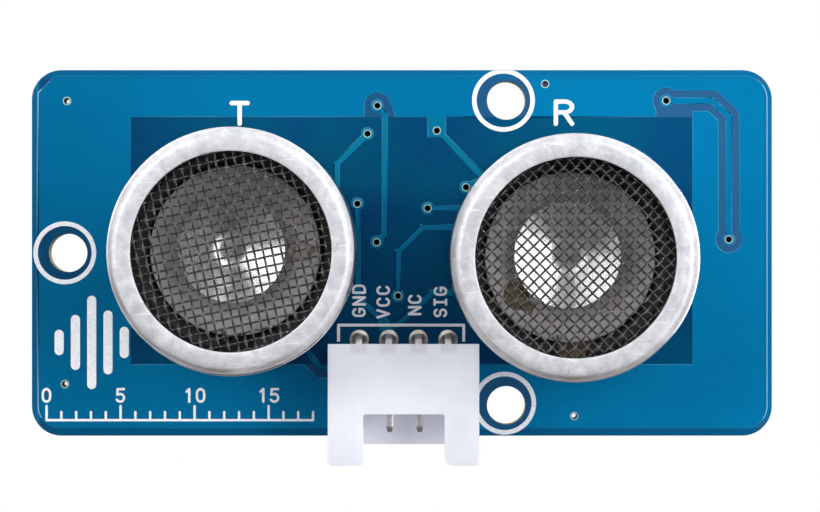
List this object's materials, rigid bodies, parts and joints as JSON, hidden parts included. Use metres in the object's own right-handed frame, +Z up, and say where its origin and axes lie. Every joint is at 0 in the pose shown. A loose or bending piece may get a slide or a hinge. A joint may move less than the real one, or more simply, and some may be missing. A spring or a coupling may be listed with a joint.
{
  "type": "ultrasonic distance sensor",
  "caption": "Ultrasonic distance sensor: a blue circuit board with transmitting and receiving transducers in round meshed cans, and a right-angle cable socket on its lower edge.",
  "frame": {"origin": "centre of the circuit board's front face", "axes": "+X to the right as the transducers are faced, along the board's long side; the transducers face -Y; +Z up, away from the cable socket"},
  "size_m": [0.05, 0.0155, 0.0265],
  "materials": {
    "circuit_board": "glass-epoxy laminate under a glossy blue solder mask",
    "transducer_can": "drawn aluminium, satin, faintly mottled",
    "mesh_screen": "fine woven wire, darkened",
    "transducer_base": "moulded black thermoplastic",
    "silicone_bead": "elastic silicone adhesive",
    "piezo_ceramic": "fired ceramic with a silvered face",
    "vibrating_plate": "dull grey metal disc",
    "cone": "thin bright spun aluminium",
    "tinned_metal": "tin-plated brass, satin-bright",
    "lead_wire": "fine enamelled copper wire",
    "socket_housing": "natural white nylon",
    "chip_package": "black moulded epoxy with tinned leads",
    "crystal_can": "nickel-plated resonator lid",
    "tantalum_body": "amber moulded capacitor with a polarity bar",
    "ceramic_capacitor": "tan ceramic body with tinned ends",
    "chip_resistor": "black glazed film on white ceramic with tinned ends"
  },
  "bodies": {
    "root": {"circuit_board": "circuit_board", "transmitter_can": "transducer_can", "transmitter_mesh_screen": "mesh_screen", "transmitter_base": "transducer_base", "transmitter_silicone_bead": "silicone_bead", "transmitter_piezo_disc": "piezo_ceramic", "transmitter_vibrating_plate": "vibrating_plate", "transmitter_cone": "cone", "transmitter_terminal_upper": "tinned_metal", "transmitter_terminal_lower": "tinned_metal", "transmitter_ceramic_lead": "lead_wire", "transmitter_plate_lead": "lead_wire", "receiver_can": "transducer_can", "receiver_mesh_screen": "mesh_screen", "receiver_base": "transducer_base", "receiver_silicone_bead": "silicone_bead", "receiver_piezo_disc": "piezo_ceramic", "receiver_vibrating_plate": "vibrating_plate", "receiver_cone": "cone", "receiver_terminal_upper": "tinned_metal", "receiver_terminal_lower": "tinned_metal", "receiver_ceramic_lead": "lead_wire", "receiver_plate_lead": "lead_wire", "socket_housing": "socket_housing", "socket_pin_gnd": "tinned_metal", "socket_pin_vcc": "tinned_metal", "socket_pin_spare": "tinned_metal", "socket_pin_signal": "tinned_metal", "controller_chip": "chip_package", "transmit_driver_chip": "chip_package", "receive_amplifier_chip": "chip_package", "drive_transistor_1": "chip_package", "drive_transistor_2": "chip_package", "crystal": "crystal_can", "supply_capacitor": "tantalum_body", "capacitor_1": "ceramic_capacitor", "capacitor_2": "ceramic_capacitor", "capacitor_3": "ceramic_capacitor", "capacitor_4": "ceramic_capacitor", "capacitor_5": "ceramic_capacitor", "capacitor_6": "ceramic_capacitor", "capacitor_7": "ceramic_capacitor", "capacitor_8": "ceramic_capacitor", "resistor_1": "chip_resistor", "resistor_2": "chip_resistor", "resistor_3": "chip_resistor", "resistor_4": "chip_resistor", "resistor_5": "chip_resistor", "resistor_6": "chip_resistor", "resistor_7": "chip_resistor", "resistor_8": "chip_resistor", "resistor_9": "chip_resistor", "resistor_10": "chip_resistor"}
  },
  "joints": []
}
